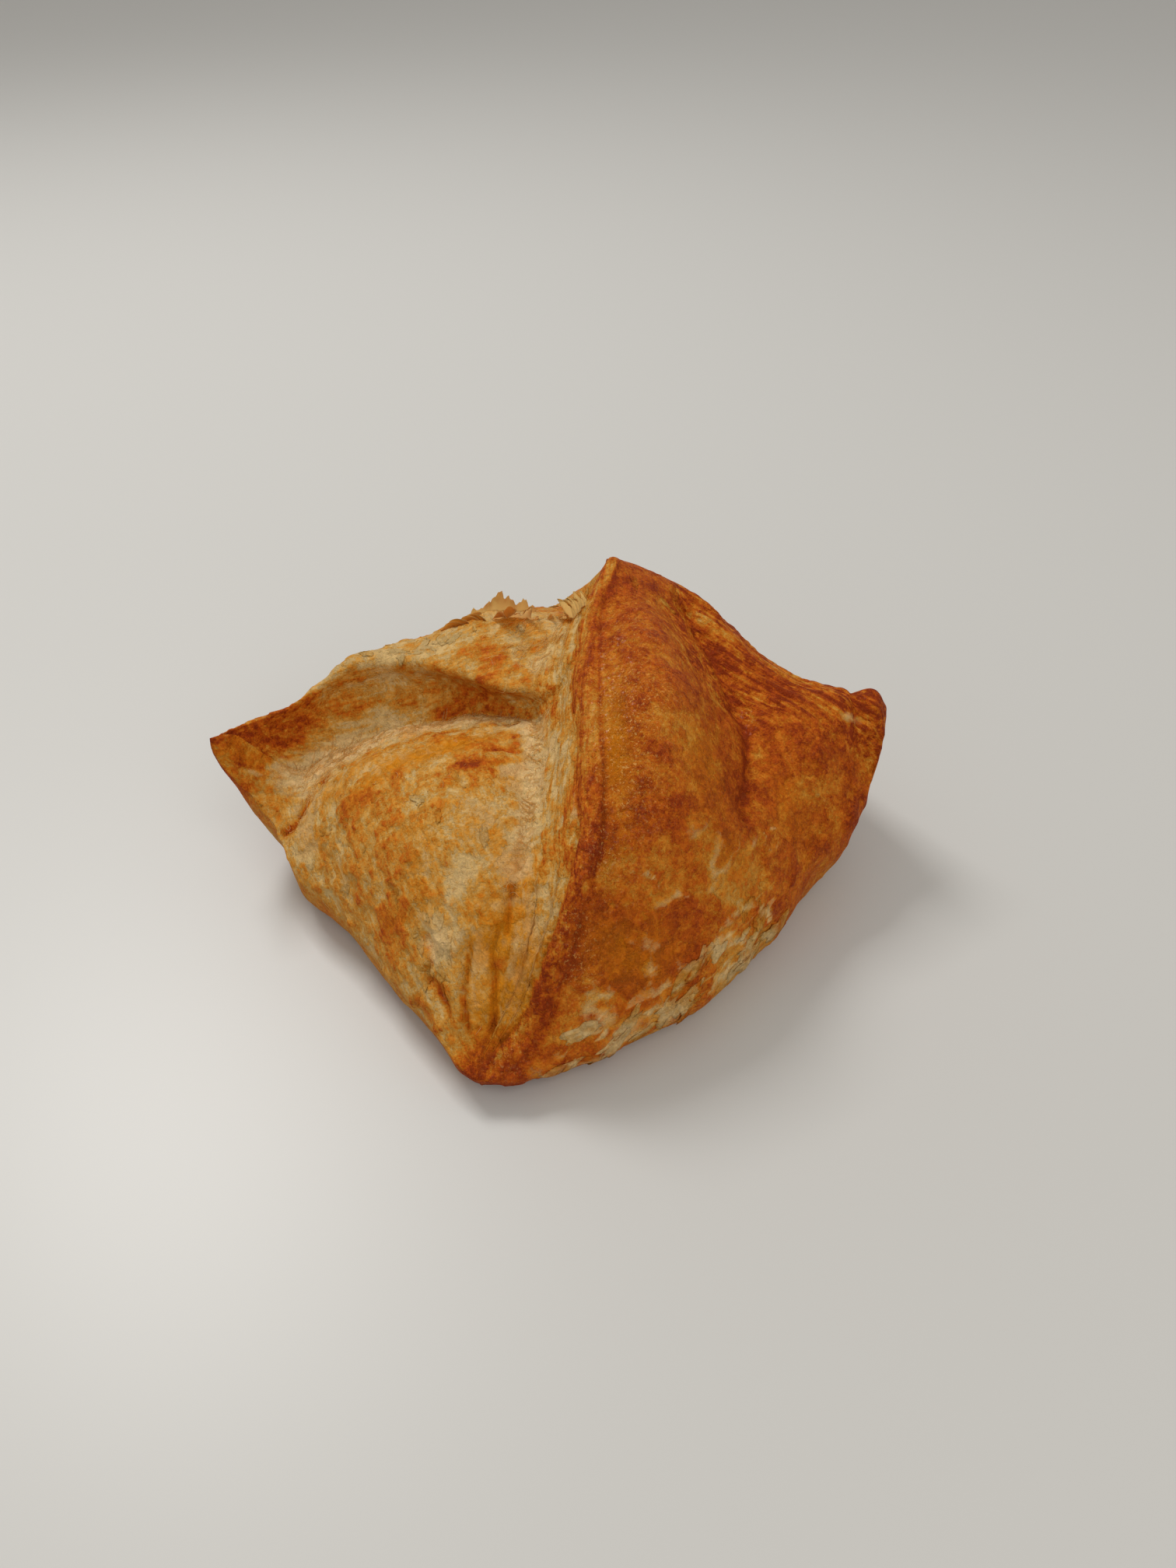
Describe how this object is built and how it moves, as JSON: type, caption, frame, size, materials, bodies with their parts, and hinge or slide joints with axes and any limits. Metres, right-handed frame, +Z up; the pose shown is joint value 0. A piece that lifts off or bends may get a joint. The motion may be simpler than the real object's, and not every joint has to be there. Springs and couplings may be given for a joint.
{
  "type": "egg puff",
  "caption": "Four-cornered baked puff pastry parcel with folded flaps over a rounded filling, flat underneath so that it rests on a plate.",
  "frame": {"origin": "middle of the puff's bounding box in plan, on the plane that it rests on", "axes": "+X from the puff's left-hand corner to its right-hand corner, +Y from the front corner, where the cut edge of the upper flap ends, to the back corner, +Z up"},
  "size_m": [0.127, 0.1222, 0.0541],
  "materials": {
    "baked_crust": "egg-washed, baked golden brown, satin"
  },
  "bodies": {
    "root": {"pastry": "baked_crust"}
  },
  "joints": []
}
